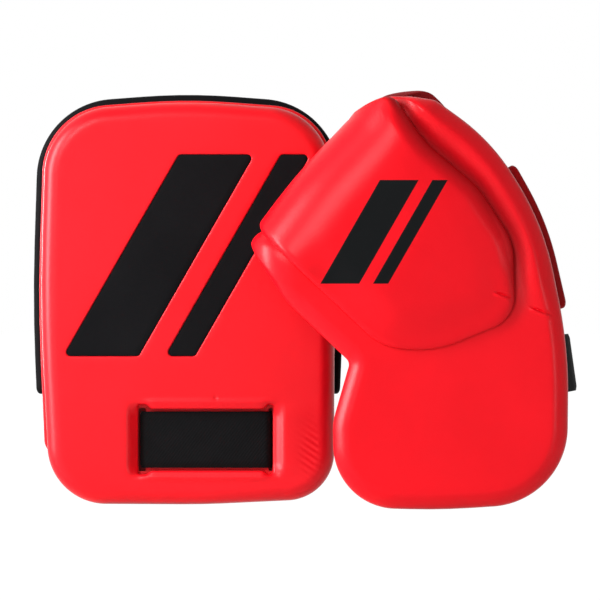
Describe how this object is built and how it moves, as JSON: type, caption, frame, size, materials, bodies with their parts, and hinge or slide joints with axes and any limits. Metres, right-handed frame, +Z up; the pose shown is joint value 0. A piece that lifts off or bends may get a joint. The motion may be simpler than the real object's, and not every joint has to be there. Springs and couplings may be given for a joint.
{
  "type": "pair of goalkeeper hand protectors",
  "caption": "Pair of moulded foam goalkeeper hand protectors: a flat board pad with a strap window and a pad with a folded finger guard, worn with straps that close over the wrist.",
  "frame": {"origin": "middle of the flat foot of the left pad's second foam layer, on the surface that the pads stand on", "axes": "+Z up, +X from the left pad to the right pad, -Y out of the faces of the pads"},
  "size_m": [0.4047, 0.2223, 0.3073],
  "materials": {
    "red_foam": "satin moulded closed-cell foam skin",
    "black_foam": "matt closed-cell foam",
    "webbing": "ribbed woven webbing",
    "elastic": "knitted elastic",
    "lining": "brushed nylon lining",
    "cushion": "padded mesh fabric",
    "loop": "napped loop tape",
    "hook": "hook tape"
  },
  "bodies": {
    "left_pad": {"left_front_board": "red_foam", "left_back_board": "red_foam", "left_rim": "black_foam", "left_lining": "lining", "left_hand_pad": "cushion", "left_inlay_wide": "black_foam", "left_inlay_narrow": "black_foam", "left_finger_strap": "elastic", "left_thumb_loop": "elastic", "left_wrist_strap": "webbing", "left_loop_patch": "loop"},
    "left_flap": {"left_wrist_flap": "webbing", "left_hook_patch": "hook"},
    "right_pad": {"right_front_board": "red_foam", "right_back_board": "red_foam", "right_finger_shell": "red_foam", "right_side_rim": "red_foam", "right_lining": "lining", "right_channel_lining": "lining", "right_knuckle_pad": "cushion", "right_cuff_pad": "cushion", "right_finger_strap": "elastic", "right_wrist_strap": "webbing", "right_loop_patch": "loop"},
    "right_flap": {"right_wrist_flap": "webbing", "right_hook_patch": "hook"}
  },
  "joints": [
    {"name": "left_flap_lift", "type": "hinge", "parent": "left_pad", "child": "left_flap", "pos_m": [0.0316, 0.0707, 0.0485], "axis": [0, 0, -1], "range_deg": [0, 110]},
    {"name": "right_pad_aside", "type": "slide", "parent": "left_pad", "child": "right_pad", "axis": [1, 0, 0], "range_m": [0, 0.25]},
    {"name": "right_flap_lift", "type": "hinge", "parent": "right_pad", "child": "right_flap", "pos_m": [0.2521, -0.05045, 0.10246], "axis": [0.1392, 0, -0.9903], "range_deg": [0, 110]}
  ]
}
